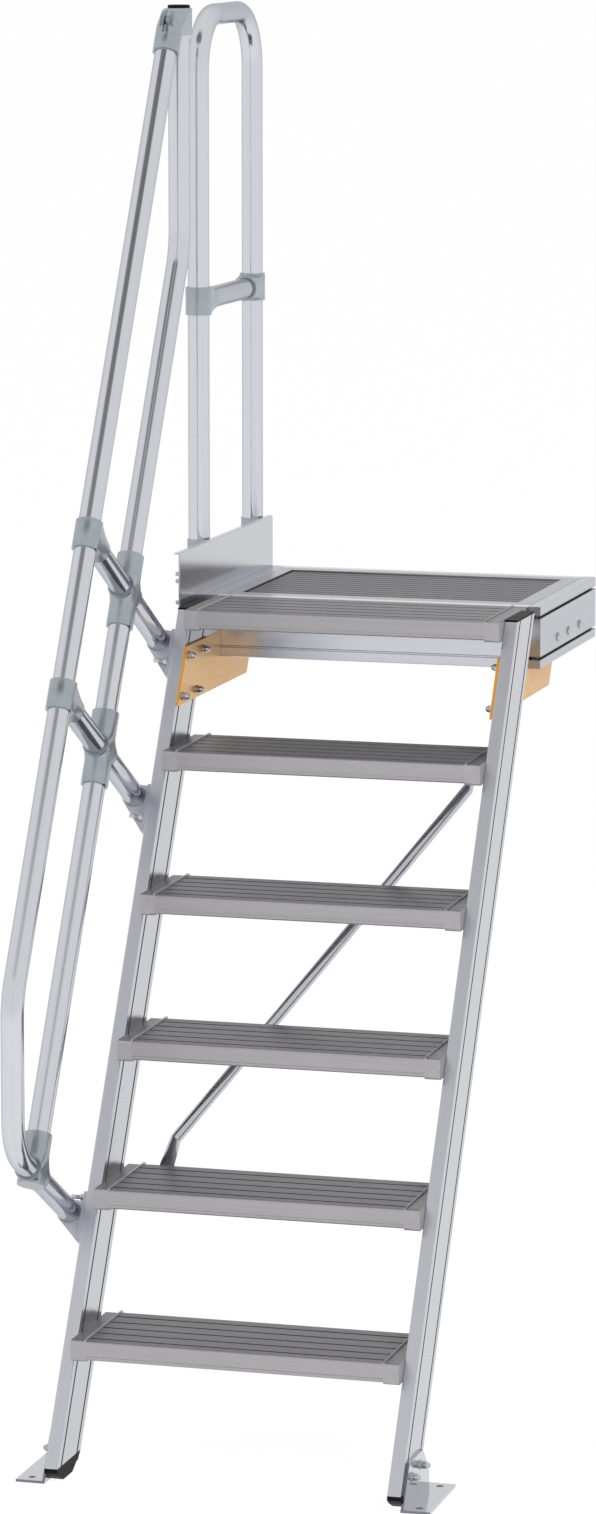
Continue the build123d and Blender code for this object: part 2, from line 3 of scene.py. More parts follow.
import bmesh
import bpy
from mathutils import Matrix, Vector


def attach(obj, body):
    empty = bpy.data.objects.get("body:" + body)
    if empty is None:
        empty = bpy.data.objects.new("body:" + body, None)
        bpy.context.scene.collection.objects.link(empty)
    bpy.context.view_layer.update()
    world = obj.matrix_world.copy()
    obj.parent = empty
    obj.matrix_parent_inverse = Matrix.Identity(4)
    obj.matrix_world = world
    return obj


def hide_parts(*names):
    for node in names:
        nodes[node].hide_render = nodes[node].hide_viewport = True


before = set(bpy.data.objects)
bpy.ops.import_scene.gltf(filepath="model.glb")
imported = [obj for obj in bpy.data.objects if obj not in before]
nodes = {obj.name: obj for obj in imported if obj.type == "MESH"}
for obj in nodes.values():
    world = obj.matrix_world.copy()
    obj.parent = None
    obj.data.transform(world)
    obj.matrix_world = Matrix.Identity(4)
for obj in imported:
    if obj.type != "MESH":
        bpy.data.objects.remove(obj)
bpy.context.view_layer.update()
bpy.context.scene.view_settings.view_transform = "Standard"

# Sizes of the stair are in millimetres, with Y from the nose of the first tread and Z from the floor.
ORIGIN_Y = 1419.9878
ORIGIN_Z = 1440.0
SLOPE = math.radians(60.0)
SINE = math.sin(SLOPE)
COSINE = math.cos(SLOPE)
RISE = 250.0
GOING = RISE / math.tan(SLOPE)
INNER_X = 310.0
OUTER_X = 335.0
BEAM_THICKNESS = 25.0
PLATFORM_DEPTH = 470.0
RAIL_X = -370.0
TUBE_RADIUS = 21.0
BRACE_X = 236.0


def spot(x, y, z):
    """Point of the frame, in metres, from drawing coordinates in millimetres."""
    return Vector((x / 1000.0, (y - ORIGIN_Y) / 1000.0, (z - ORIGIN_Z) / 1000.0))


def slope_spot(x, behind, along):
    """Point of the frame from distances behind the nosing line and up along it."""
    y = behind * SINE + along * COSINE
    z = RISE - behind * COSINE + along * SINE
    return spot(x, y, z)


def slope_y(behind, z):
    """Y of a point at a distance behind the nosing line and at a height."""
    return (behind + (z - RISE) * COSINE) / SINE


def slope_at_y(behind, y):
    """Point on a line parallel to the nosing line where it passes the given Y."""
    return slope_spot(RAIL_X, behind, (y - behind * SINE) / COSINE)


ALONG_SLOPE = Vector((0.0, COSINE, SINE))
ALONG_X = Vector((1.0, 0.0, 0.0))
ALONG_Y = Vector((0.0, 1.0, 0.0))
UP = Vector((0.0, 0.0, 1.0))
BRACE_LOW = spot(-BRACE_X, 418.1, 539.0)
BRACE_HIGH = spot(BRACE_X, 781.8, 1169.0)


# Camera
FRAME_HEIGHT_PIXELS = 1514.0
FOCAL_PIXELS = 5778.6
SENSOR_WIDTH = 36.0
CAMERA_AZIMUTH = 15.864
CAMERA_LOOKS_DOWN = 9.161
CAMERA_SPOT = (2888.8, -9736.9, 2979.6)

camera_data = bpy.data.cameras.new("photo_camera")
camera_data.sensor_fit = "AUTO"
camera_data.sensor_width = SENSOR_WIDTH
camera_data.lens = SENSOR_WIDTH * FOCAL_PIXELS / FRAME_HEIGHT_PIXELS
camera_data.clip_start = 0.1
camera_data.clip_end = 500.0
camera = bpy.data.objects.new("photo_camera", camera_data)
camera.location = spot(*CAMERA_SPOT)
camera.rotation_euler = (math.radians(90.0 - CAMERA_LOOKS_DOWN), 0.0, math.radians(CAMERA_AZIMUTH))
bpy.context.scene.collection.objects.link(camera)
bpy.context.scene.camera = camera


# Short calls for nodes
class Nodes:
    """The nodes of a material or a world."""

    def __init__(self, owner):
        owner.use_nodes = True
        self.tree = owner.node_tree
        self.tree.nodes.clear()

    def add(self, kind):
        return self.tree.nodes.new(kind)

    def link(self, source, target):
        self.tree.links.new(source, target)

    def put(self, value, socket):
        """Links an output to a socket, or sets a plain value on it."""
        if isinstance(value, bpy.types.NodeSocket):
            self.link(value, socket)
        else:
            socket.default_value = value

    def math(self, operation, a, b=0.0):
        node = self.add("ShaderNodeMath")
        node.operation = operation
        self.put(a, node.inputs[0])
        self.put(b, node.inputs[1])
        return node.outputs[0]

    def band(self, value, low, high, to_low=0.0, to_high=1.0, smooth=False):
        """Maps the range between two values to another range."""
        node = self.add("ShaderNodeMapRange")
        node.interpolation_type = "SMOOTHSTEP" if smooth else "LINEAR"
        for index, item in enumerate((value, low, high, to_low, to_high)):
            self.put(item, node.inputs[index])
        return node.outputs[0]

    def parts(self, vector):
        """The X, Y and Z of a vector."""
        node = self.add("ShaderNodeSeparateXYZ")
        self.link(vector, node.inputs[0])
        return node.outputs

    def dot(self, vector, axis):
        node = self.add("ShaderNodeVectorMath")
        node.operation = "DOT_PRODUCT"
        self.link(vector, node.inputs[0])
        node.inputs[1].default_value = axis
        return node.outputs["Value"]

    def shown(self):
        """One where the camera looks straight, by way of gloss or through glass."""
        path = self.add("ShaderNodeLightPath").outputs
        seen = self.math("MAXIMUM", path["Is Camera Ray"], path["Is Glossy Ray"])
        return self.math("MAXIMUM", seen, path["Is Transmission Ray"])

    def close(self, output_kind, share, first, second):
        """Ends the nodes with a mix of two shaders."""
        mix = self.add("ShaderNodeMixShader")
        for source, socket in zip((share, first.outputs[0], second.outputs[0]), mix.inputs):
            self.link(source, socket)
        self.link(mix.outputs[0], self.add(output_kind).inputs[0])


class Finish(Nodes):
    """A procedural surface."""

    SOCKETS = {
        "color": "Base Color", "metallic": "Metallic", "roughness": "Roughness", "normal": "Normal",
        "specular": "Specular IOR Level", "edge": "Specular Tint",
    }

    def __init__(self, name):
        self.material = bpy.data.materials.new(name)
        super().__init__(self.material)
        self.shader = self.add("ShaderNodeBsdfPrincipled")
        self.link(self.shader.outputs[0], self.add("ShaderNodeOutputMaterial").inputs[0])
        self.coords = self.add("ShaderNodeTexCoord").outputs
        self.place = self.coords["Object"]

    def along(self, axis):
        """Distance of the shaded point along an axis, times the axis's length."""
        return self.dot(self.place, axis)

    def join(self, x, y, z):
        """A vector of three values."""
        node = self.add("ShaderNodeCombineXYZ")
        for value, socket in zip((x, y, z), node.inputs):
            self.put(value, socket)
        return node.outputs[0]

    def drawn(self, axis, across, lengthwise):
        """Coordinates that vary fast across an axis and slowly along it."""
        axis = axis.normalized()
        side = axis.orthogonal().normalized()
        other = axis.cross(side)
        x = self.along(side * across)
        y = self.along(other * across)
        return self.join(x, y, self.along(axis * lengthwise))

    def wrapped(self, lanes, lengthwise):
        """Coordinates round and along a tube, from the map that its mesh carries."""
        around, travel = self.parts(self.coords["UV"])[:2]
        turn = self.math("MULTIPLY", around, 2 * math.pi)
        x = self.math("MULTIPLY", self.math("COSINE", turn), lanes)
        y = self.math("MULTIPLY", self.math("SINE", turn), lanes)
        return self.join(x, y, self.math("MULTIPLY", travel, lengthwise))

    def noise(self, vector, scale=1.0, detail=2.0, roughness=0.5):
        node = self.add("ShaderNodeTexNoise")
        node.inputs["Scale"].default_value = scale
        node.inputs["Detail"].default_value = detail
        node.inputs["Roughness"].default_value = roughness
        self.link(vector, node.inputs["Vector"])
        return node.outputs[0]

    def cells(self, scale):
        node = self.add("ShaderNodeTexVoronoi")
        node.inputs["Scale"].default_value = scale
        self.link(self.place, node.inputs["Vector"])
        return node.outputs

    def stretch(self, noise, to_low=0.0, to_high=1.0):
        """A soft noise stretched over a whole range."""
        return self.band(noise, 0.35, 0.65, to_low, to_high)

    def gloss(self, noise, low, high):
        """Roughness that follows a strong noise."""
        return self.band(noise, 0.3, 0.7, low, high)

    def blend(self, a, b, share):
        """Mean of two values, with the given share of the second."""
        return self.math("ADD", self.math("MULTIPLY", a, 1.0 - share), self.math("MULTIPLY", b, share))

    def mix(self, factor, a, b):
        """Mix of two colours."""
        node = self.add("ShaderNodeMix")
        node.data_type = "RGBA"
        self.put(factor, node.inputs[0])
        self.put(a, node.inputs[6])
        self.put(b, node.inputs[7])
        return node.outputs[2]

    def around(self, factor, color, reach):
        """A colour that goes a little darker and a little lighter with the factor."""
        low = [c * (1 - reach) for c in color] + [1.0]
        high = [c * (1 + reach) for c in color] + [1.0]
        return self.mix(factor, low, high)

    def within(self, value, low, high):
        """One between two limits and zero outside them."""
        above = self.math("GREATER_THAN", value, low)
        return self.math("MULTIPLY", above, self.math("LESS_THAN", value, high))

    def beside(self, value, centre, reach):
        """One where a value is near a centre, on either side of zero."""
        return self.within(self.math("ABSOLUTE", value), centre - reach, centre + reach)

    def upward(self):
        """One on faces that look up."""
        return self.band(self.parts(self.coords["Normal"])[2], 0.6, 0.9)

    def sideways(self):
        """How far a face looks along X, either way."""
        return self.math("ABSOLUTE", self.parts(self.coords["Normal"])[0])

    def bump(self, height, distance, strength):
        node = self.add("ShaderNodeBump")
        node.inputs["Strength"].default_value = strength
        node.inputs["Distance"].default_value = distance
        self.link(height, node.inputs["Height"])
        return node.outputs[0]

    def set(self, **values):
        for key, value in values.items():
            self.put(value, self.shader.inputs[self.SOCKETS[key]])
        return self.material


# Painted shade: grooves of some pieces are painted near black inside, where shade falls in them. Each
# function gives one inside the grooves of some pieces, in metres.
SKIN = 0.0004
GROOVE_OFFSET = 0.040
GROOVE_REACH = 0.0029
# Painted shade also covers the lips beside the grooves, a little lighter.
LIP_REACH = 0.0038
LIP_SHADE = 0.80
# Beam grooves get only a thin painted shadow line inside them.
BEAM_LINE_OFFSET = 0.0385
BEAM_LINE_REACH = 0.0011
BEHIND_SHIFT = (ORIGIN_Y * SINE - (ORIGIN_Z - RISE) * COSINE) / 1000.0
STRINGER_MIDDLE = 0.100
# Tread and deck grooves are painted near black inside, as painted shade.
TREAD_TOP_MARGIN = 0.0001
TREAD_GROOVE_DEPTHS = (0.0002, 0.0046)
TREAD_GROOVE_PLACES = (0.008, 0.2145)
TREAD_GROOVE_SHADE = 0.85
DECK_GROOVE_HEIGHTS = (0.0526, 0.0568)
DECK_GROOVE_SHADE = 0.5


def side_depth(f):
    """One inside the walls of a stringer or side rail."""
    across = f.math("ABSOLUTE", f.along(ALONG_X))
    return f.within(across, INNER_X / 1000.0 + SKIN, OUTER_X / 1000.0 - SKIN)


def side_groove_shade_mask(f, from_middle):
    """One inside two grooves of a wide face, and a little less on the lips beside them: painted shade that
    makes the grooves' lines look wider.
    """
    inside = f.math("MULTIPLY", f.beside(from_middle, GROOVE_OFFSET, GROOVE_REACH), side_depth(f))
    lips = f.math("MULTIPLY", f.beside(from_middle, GROOVE_OFFSET, LIP_REACH), LIP_SHADE)
    return f.math("MAXIMUM", inside, lips)


def stringer_groove_shade_mask(f):
    behind = f.along(Vector((0.0, SINE, -COSINE)))
    return side_groove_shade_mask(f, f.math("ADD", behind, BEHIND_SHIFT - STRINGER_MIDDLE))


def rail_groove_shade_mask(f):
    return side_groove_shade_mask(f, f.along(UP))


def beam_groove_shadow_mask(f):
    """One along a thin line inside each groove of the platform's front and rear beams: a painted shadow
    inside the groove.
    """
    back = f.along(ALONG_Y)
    thickness = BEAM_THICKNESS / 1000.0
    front_face = -PLATFORM_DEPTH / 1000.0
    front_beam = f.within(back, front_face + SKIN, front_face + thickness - SKIN)
    rear_beam = f.within(back, -thickness + SKIN, -SKIN)
    line = f.beside(f.along(UP), BEAM_LINE_OFFSET, BEAM_LINE_REACH)
    return f.math("MULTIPLY", line, f.math("MAXIMUM", front_beam, rear_beam))


def above_floor(f):
    return f.math("ADD", f.along(UP), ORIGIN_Z / 1000.0)


# Painted shade inside the grooves of the treads' walking faces.
def tread_groove_shade_mask(f):
    height = above_floor(f)
    steps = f.math("DIVIDE", f.math("SUBTRACT", height, TREAD_TOP_MARGIN), RISE / 1000.0)
    number = f.math("CEIL", steps)
    depth = f.math("SUBTRACT", f.math("MULTIPLY", number, RISE / 1000.0), height)
    nose = f.math("MULTIPLY", f.math("SUBTRACT", number, 1.0), GOING / 1000.0)
    back = f.math("SUBTRACT", f.math("ADD", f.along(ALONG_Y), ORIGIN_Y / 1000.0), nose)
    inside = f.math("MULTIPLY", f.within(depth, *TREAD_GROOVE_DEPTHS), f.within(back, *TREAD_GROOVE_PLACES))
    return f.math("MULTIPLY", inside, TREAD_GROOVE_SHADE)


# Painted shade inside the deck panel's grooves.
def deck_groove_shade_mask(f):
    return f.math("MULTIPLY", f.within(f.along(UP), *DECK_GROOVE_HEIGHTS), DECK_GROOVE_SHADE)


# Extruded, drawn and folded metal
BLACK = (0, 0, 0, 1)
PAINTED_GROOVE_SHADE = (0.02, 0.02, 0.022, 1)
PAINTED_RIB_GROOVE_SHADE = (0.018, 0.017, 0.018, 1)
RIB_PITCH = 0.0027
FINE_RELIEF = 0.00003


def extruded(name, axis, color, rough, grooves=None, relief=0.5, wide=1.0):
    """Extruded metal with die lines and a cloudy sheen. Faces that look along X get painted shade: their
    colour is cut to the share that wide gives, and they are smoother.
    """
    f = Finish(name)
    lines = f.noise(f.drawn(axis, across=420.0, lengthwise=1.5), detail=3.0, roughness=0.6)
    lanes = f.noise(f.drawn(axis, across=60.0, lengthwise=0.8), detail=2.0)
    smudge = f.noise(f.place, scale=24.0, detail=5.0, roughness=0.6)
    tone = f.blend(f.blend(lines, lanes, 0.5), smudge, 0.15)
    shade = f.around(f.stretch(tone), color, 0.035)
    roughness = f.stretch(f.blend(lanes, smudge, 0.35), rough - 0.04, rough + 0.05)
    # Painted shade on the faces that look along X, the stringers' wide faces.
    if wide < 1.0:
        flat = f.band(f.sideways(), 0.6, 0.9)
        shade = f.mix(f.math("MULTIPLY", flat, 1.0 - wide), shade, BLACK)
        roughness = f.math("MULTIPLY", roughness, f.band(flat, 0.0, 1.0, 1.0, 0.62))
    metallic = 1.0
    # Painted shade: inside the grooves the colour goes near black and the metal turns dull.
    if grooves:
        dark = grooves(f)
        shade = f.mix(dark, shade, PAINTED_GROOVE_SHADE)
        metallic = f.math("SUBTRACT", 1.0, dark)
    normal = f.bump(lines, FINE_RELIEF, relief)
    return f.set(color=shade, metallic=metallic, roughness=roughness, normal=normal)


def ribbed(name, top, front, grooves):
    """Plank metal: fine ribs along X on the walking face, plain die lines on the other faces. The walking
    face gets painted shade: a colour about half the fronts', striped light and dark by the ribs, and less
    metallic.
    """
    f = Finish(name)
    lines = f.noise(f.drawn(ALONG_X, across=450.0, lengthwise=2.0), detail=3.0, roughness=0.6)
    lanes = f.noise(f.drawn(ALONG_X, across=150.0, lengthwise=1.2), detail=2.0)
    cloud = f.noise(f.place, scale=9.0, detail=4.0)
    up = f.upward()
    turns = f.math("MULTIPLY", f.parts(f.place)[1], 2 * math.pi / RIB_PITCH)
    ribs = f.band(f.math("SINE", turns), -0.6, 0.9, smooth=True)
    tone = f.stretch(f.blend(f.blend(lines, lanes, 0.6), cloud, 0.2))
    # Painted shade: the walking face takes the darker top colour, with painted rib shading.
    painted_top_shade = f.around(f.blend(ribs, tone, 0.6), top, 0.20)
    shade = f.mix(up, f.around(tone, front, 0.06), painted_top_shade)
    # Painted shade: groove insides go near black and dull.
    dark = grooves(f)
    shade = f.mix(dark, shade, PAINTED_RIB_GROOVE_SHADE)
    dull = f.math("MAXIMUM", dark, f.math("MULTIPLY", up, 0.35))
    metallic = f.band(dull, 0.0, 1.0, to_low=0.75, to_high=0.0)
    roughness = f.band(lines, 0.2, 0.8, 0.30, 0.44)
    rib_height = f.math("MULTIPLY", f.math("MULTIPLY", ribs, up), 5.0)
    normal = f.bump(f.math("ADD", rib_height, lines), FINE_RELIEF, 0.5)
    grazing = (0.58, 0.575, 0.59, 1)
    return f.set(color=shade, metallic=metallic, roughness=roughness, normal=normal, edge=grazing)


def tube_finish():
    """Drawn tube: bright satin with polishing lanes that run along it."""
    f = Finish("drawn_tube")
    lanes = f.noise(f.wrapped(lanes=3.0, lengthwise=0.6), detail=2.0)
    lines = f.noise(f.wrapped(lanes=16.0, lengthwise=1.5), detail=3.0, roughness=0.6)
    fine = f.noise(f.place, scale=700.0, detail=2.0)
    tone = f.blend(f.blend(lanes, lines, 0.4), fine, 0.12)
    shade = f.around(f.stretch(tone), (0.63, 0.65, 0.685), 0.035)
    roughness = f.stretch(f.blend(lanes, lines, 0.5), 0.12, 0.19)
    normal = f.bump(lines, 0.00002, 0.4)
    grazing = (0.62, 0.62, 0.66, 1)
    return f.set(color=shade, metallic=1.0, roughness=roughness, normal=normal, edge=grazing)


# Castings, plates, plastics and fasteners
def casting_finish(name, color, metallic, rough):
    """Coated die casting: fine blasted grain and slightly paler high spots of wear."""
    f = Finish(name)
    grain = f.noise(f.place, scale=900.0, detail=3.0, roughness=0.65)
    cloud = f.noise(f.place, scale=26.0, detail=5.0, roughness=0.6)
    shade = f.around(f.stretch(cloud), color, 0.07)
    wear_and_highlight = [c * 1.18 for c in color] + [1.0]
    shade = f.mix(f.band(grain, 0.62, 0.80), shade, wear_and_highlight)
    roughness = f.gloss(cloud, rough - 0.05, rough + 0.06)
    normal = f.bump(grain, 0.00008, 0.4)
    return f.set(color=shade, metallic=metallic, roughness=roughness, normal=normal)


def plate_finish():
    """Yellow passivated plate with its cloudy sheen, richer on its cut edges."""
    f = Finish("yellow_plate")
    cloud = f.noise(f.place, scale=18.0, detail=5.0, roughness=0.6)
    rolled = f.noise(f.drawn(ALONG_Y, across=260.0, lengthwise=6.0), detail=2.0)
    tone = f.stretch(f.blend(cloud, rolled, 0.3))
    edges = f.around(tone, (0.80, 0.36, 0.03), 0.08)
    faces = f.around(tone, (0.68, 0.39, 0.13), 0.08)
    shade = f.mix(f.band(f.sideways(), 0.5, 0.8), edges, faces)
    normal = f.bump(rolled, 0.00005, 0.4)
    return f.set(color=shade, metallic=0.65, roughness=f.gloss(cloud, 0.26, 0.38), normal=normal)


def moulded(f):
    """Grain and scuffs of moulded plastic."""
    grain = f.cells(900.0)["Distance"]
    scuff = f.noise(f.place, scale=60.0, detail=6.0, roughness=0.7)
    return grain, scuff


def black_finish():
    """Black moulded plastic with a fine even grain and a few scuffs."""
    f = Finish("black_plastic")
    grain, scuff = moulded(f)
    shade = f.mix(f.band(scuff, 0.45, 0.75), (0.006, 0.006, 0.007, 1), (0.013, 0.013, 0.015, 1))
    roughness = f.gloss(scuff, 0.38, 0.55)
    normal = f.bump(grain, 0.00008, 0.5)
    return f.set(color=shade, metallic=0.0, roughness=roughness, normal=normal, specular=0.05)


def cap_finish():
    """Tread end caps: grey moulded fronts, tops darkened by painted shade, and a painted highlight along
    the lip, strong on the left caps.
    """
    f = Finish("cap_plastic")
    grain, scuff = moulded(f)
    tone = f.band(scuff, 0.35, 0.75)
    front = f.around(tone, (0.375, 0.366, 0.378), 0.07)
    # Painted shade: the tops are a darker copy of the fronts' grey.
    top = f.around(tone, (0.15, 0.147, 0.153), 0.10)
    shade = f.mix(f.upward(), front, top)
    # Painted highlight: a pale band along each cap's lip, strong on the left and faint on the right.
    step_part = f.math("FRACT", f.math("DIVIDE", above_floor(f), RISE / 1000.0))
    lip = f.within(step_part, 0.003, 0.02)
    wear_and_highlight = f.band(f.along(ALONG_X), -0.1, 0.1, 0.7, 0.15)
    shade = f.mix(f.math("MULTIPLY", lip, wear_and_highlight), shade, (0.46, 0.455, 0.465, 1))
    roughness = f.gloss(scuff, 0.30, 0.44)
    return f.set(color=shade, metallic=0.5, roughness=roughness, normal=f.bump(grain, 0.00006, 0.4))


def zinc_sheet_finish():
    """Zinc-coated sheet with a faint spangle and darker cut edges, partly bare cut steel and partly painted
    shade.
    """
    f = Finish("zinc_sheet")
    spangle = f.parts(f.cells(160.0)["Color"])[0]
    cloud = f.noise(f.place, scale=24.0, detail=5.0)
    tone = f.blend(spangle, cloud, 0.6)
    upright = f.math("ABSOLUTE", f.parts(f.coords["Normal"])[2])
    flat = f.band(f.math("MAXIMUM", f.sideways(), upright), 0.86, 0.95)
    # Cut edges: near-black grey, partly the bare steel of the cut and partly painted shade.
    shade = f.mix(flat, (0.20, 0.20, 0.22, 1), f.around(tone, (0.53, 0.545, 0.585), 0.035))
    roughness = f.band(tone, 0.2, 0.8, 0.08, 0.15)
    normal = f.bump(cloud, FINE_RELIEF, 0.2)
    return f.set(color=shade, metallic=0.95, roughness=roughness, normal=normal)


def fastener_finish():
    """Bright zinc on bolts and nuts, with a fine turned grain."""
    f = Finish("zinc_fastener")
    cloud = f.noise(f.place, scale=160.0, detail=4.0, roughness=0.6)
    shade = f.around(f.stretch(cloud), (0.55, 0.55, 0.57), 0.12)
    normal = f.bump(cloud, FINE_RELIEF, 0.4)
    return f.set(color=shade, metallic=1.0, roughness=f.gloss(cloud, 0.20, 0.34), normal=normal)


ALUMINIUM = (0.635, 0.64, 0.69)
# The stringers' wide faces get painted shade through wide.
along_slope = extruded("slope_extrusion", ALONG_SLOPE, ALUMINIUM, 0.34, stringer_groove_shade_mask, wide=0.80)
along_x = extruded("cross_extrusion", ALONG_X, (0.61, 0.615, 0.66), 0.20, beam_groove_shadow_mask)
along_y = extruded("long_extrusion", ALONG_Y, (0.485, 0.49, 0.54), 0.30, rail_groove_shade_mask)
border_metal = extruded("deck_border", ALONG_X, (0.39, 0.395, 0.435), 0.30)
board_metal = extruded("board_sheet", ALONG_Y, (0.51, 0.515, 0.55), 0.16)
brace_metal = extruded("brace_tube", BRACE_HIGH - BRACE_LOW, (0.52, 0.525, 0.56), 0.15, relief=0.08)
# Tread and deck tops are given a painted-shade colour, much darker than their fronts.
tread_metal = ribbed("tread_metal", (0.190, 0.183, 0.190), (0.395, 0.383, 0.398), tread_groove_shade_mask)
deck_metal = ribbed("deck_metal", (0.145, 0.139, 0.147), (0.22, 0.215, 0.225), deck_groove_shade_mask)
tube_metal = tube_finish()
casting = casting_finish("coated_casting", (0.365, 0.403, 0.433), metallic=0.90, rough=0.31)
bracket_casting = casting_finish("bare_casting", (0.50, 0.51, 0.55), metallic=0.85, rough=0.36)
plate_metal = plate_finish()
cap_plastic = cap_finish()
black_plastic = black_finish()
zinc_sheet = zinc_sheet_finish()
zinc_fastener = fastener_finish()

dressing = {
    along_slope: ["left_stringer", "right_stringer"],
    along_x: ["platform_front_beam", "platform_rear_beam"],
    along_y: ["left_side_rail", "right_side_rail"],
    border_metal: ["deck_border"],
    tread_metal: ["tread_1", "tread_2", "tread_3", "tread_4", "tread_5", "top_tread"],
    cap_plastic: ["left_tread_caps", "right_tread_caps"],
    deck_metal: ["deck_panel"],
    brace_metal: ["diagonal_brace"],
    casting: [
        "front_guard_clamp", "back_guard_clamp", "front_post_bracket", "back_post_bracket", "top_clamp",
        "lower_clamp", "middle_cross_clamp", "upper_cross_clamp", "middle_handrail_clamp",
        "upper_handrail_clamp",
    ],
    bracket_casting: ["lower_stringer_bracket", "middle_stringer_bracket", "upper_stringer_bracket"],
    plate_metal: ["left_joining_plate", "right_joining_plate"],
    board_metal: ["toe_board"],
    black_plastic: ["knee_rail_plug", "stringer_top_caps", "feet"],
    zinc_sheet: ["left_floor_bracket", "right_floor_bracket"],
}
for finish, names in dressing.items():
    for name in names:
        materials = nodes[name].data.materials
        materials.clear()
        materials.append(finish)


# Cast and moulded pieces get small rounded edges that catch the light.
SHARP_ANGLE = math.radians(28.0)
SEAM_REACH = 0.00001
EDGE_ROUND = 0.0009
EDGE_SEGMENTS = 2

for name in dressing[casting] + dressing[bracket_casting] + dressing[cap_plastic] + ["feet"]:
    weld = nodes[name].modifiers.new("join_seams", "WELD")
    weld.merge_threshold = SEAM_REACH
    bevel = nodes[name].modifiers.new("cast_edges", "BEVEL")
    bevel.width = EDGE_ROUND
    bevel.segments = EDGE_SEGMENTS
    bevel.limit_method = "ANGLE"
    bevel.angle_limit = SHARP_ANGLE
    bevel.harden_normals = True


def new_piece(name, mesh, finish):
    """Makes an object of a bmesh, smooth with sharp edges kept, and hands it to the frame."""
    for face in mesh.faces:
        face.smooth = True
    for edge in mesh.edges:
        if len(edge.link_faces) == 2 and edge.calc_face_angle(0.0) > SHARP_ANGLE:
            edge.smooth = False
    data = bpy.data.meshes.new(name)
    mesh.to_mesh(data)
    mesh.free()
    data.materials.append(finish)
    piece = bpy.data.objects.new(name, data)
    bpy.context.scene.collection.objects.link(piece)
    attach(piece, "root")
    return piece


def band_of_faces(mesh, low, high):
    """Faces between two rings of the same number of points."""
    faces = []
    for i in range(len(low)):
        j = (i + 1) % len(low)
        faces.append(mesh.faces.new((low[i], low[j], high[j], high[i])))
    return faces


# Railing tubes with smooth bends. Each carries a map: once round it, and metres along it.
TUBE_SIDES = 64
BEND_STEP = math.radians(2.5)
STRAIGHT_MARGIN = 0.004


def tube_stations(points, radii):
    """Places and directions along straight runs that are joined by arcs."""
    stations = []
    directions = [(b - a).normalized() for a, b in zip(points, points[1:])]
    start = points[0]
    for corner, radius, before, after in zip(points[1:-1], radii, directions, directions[1:]):
        turn = before.angle(after)
        reach = radius * math.tan(turn / 2)
        first = corner - before * reach
        inward = (after - before * math.cos(turn)).normalized()
        centre = first + inward * radius
        stations += [(start, before), (first - before * STRAIGHT_MARGIN, before)]
        count = max(2, math.ceil(turn / BEND_STEP))
        for i in range(count + 1):
            angle = turn * i / count
            place = centre - inward * radius * math.cos(angle) + before * radius * math.sin(angle)
            stations.append((place, before * math.cos(angle) + inward * math.sin(angle)))
        start = corner + after * (reach + STRAIGHT_MARGIN)
    stations += [(start, directions[-1]), (points[-1], directions[-1])]
    return stations


def add_tube(mesh, uv_layer, points, radii):
    """One tube in the railing's plane, with closed ends."""
    rings = []
    travel = 0.0
    previous = points[0]
    for place, direction in tube_stations(points, radii):
        travel += (place - previous).length
        previous = place
        up = direction.cross(ALONG_X)
        ring = []
        for i in range(TUBE_SIDES):
            angle = 2 * math.pi * i / TUBE_SIDES
            offset = ALONG_X * math.cos(angle) + up * math.sin(angle)
            ring.append(mesh.verts.new(place + offset * (TUBE_RADIUS / 1000.0)))
        rings.append((ring, travel))
    for (low, low_travel), (high, high_travel) in zip(rings, rings[1:]):
        for i, face in enumerate(band_of_faces(mesh, low, high)):
            u, v = i / TUBE_SIDES, (i + 1) / TUBE_SIDES
            corners = ((u, low_travel), (v, low_travel), (v, high_travel), (u, high_travel))
            for loop, corner in zip(face.loops, corners):
                loop[uv_layer].uv = corner
    mesh.faces.new(list(reversed(rings[0][0])))
    mesh.faces.new(rings[-1][0])


def tube_piece(name, node, runs):
    """One piece of one or more tubes, each given by its corners and bend radii."""
    mesh = bmesh.new()
    uv_layer = mesh.loops.layers.uv.new("round_and_along")
    for points, radii in runs:
        add_tube(mesh, uv_layer, points, [r / 1000.0 for r in radii])
    bmesh.ops.recalc_face_normals(mesh, faces=mesh.faces)
    piece = new_piece(name, mesh, tube_metal)
    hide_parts(node)


# Distances of the rails behind the nosing line, and of the stand-offs up along it
HAND = -448.0
KNEE = -185.0
STATIONS = {"lower": 259.5, "middle": 1084.0, "upper": 1402.5}
CLAMP_GAP = 24.0
STANDOFF_END = 84.0
HANDRAIL_END = 2450.0
SOCKET_END = 2466.0
HANDRAIL_LOW_Y = -139.0
KNEE_SETBACK = 53.0
KNEE_ABOVE_CLAMP = 25.5
GUARD_GAP = 83.0
GUARD_SETBACK = 25.0
GUARD_FOOT_Z = 1391.0
GUARD_TOP_Z = 2616.0
CROSSBAR_Z = 2066.0
HANDRAIL_BENDS = [140.0, 100.0]
KNEE_BEND = 150.0
GUARD_BEND = 110.0

socket_tip = slope_spot(RAIL_X, HAND, SOCKET_END)
tip_y = socket_tip.y * 1000.0 + ORIGIN_Y
tip_z = socket_tip.z * 1000.0 + ORIGIN_Z
knee_y = tip_y + KNEE_SETBACK
knee_top = tip_z + KNEE_ABOVE_CLAMP
low_behind = (HANDRAIL_LOW_Y - STATIONS["lower"] * COSINE) / SINE
guard_front = knee_y + GUARD_GAP + 2 * TUBE_RADIUS
guard_back = ORIGIN_Y - GUARD_SETBACK

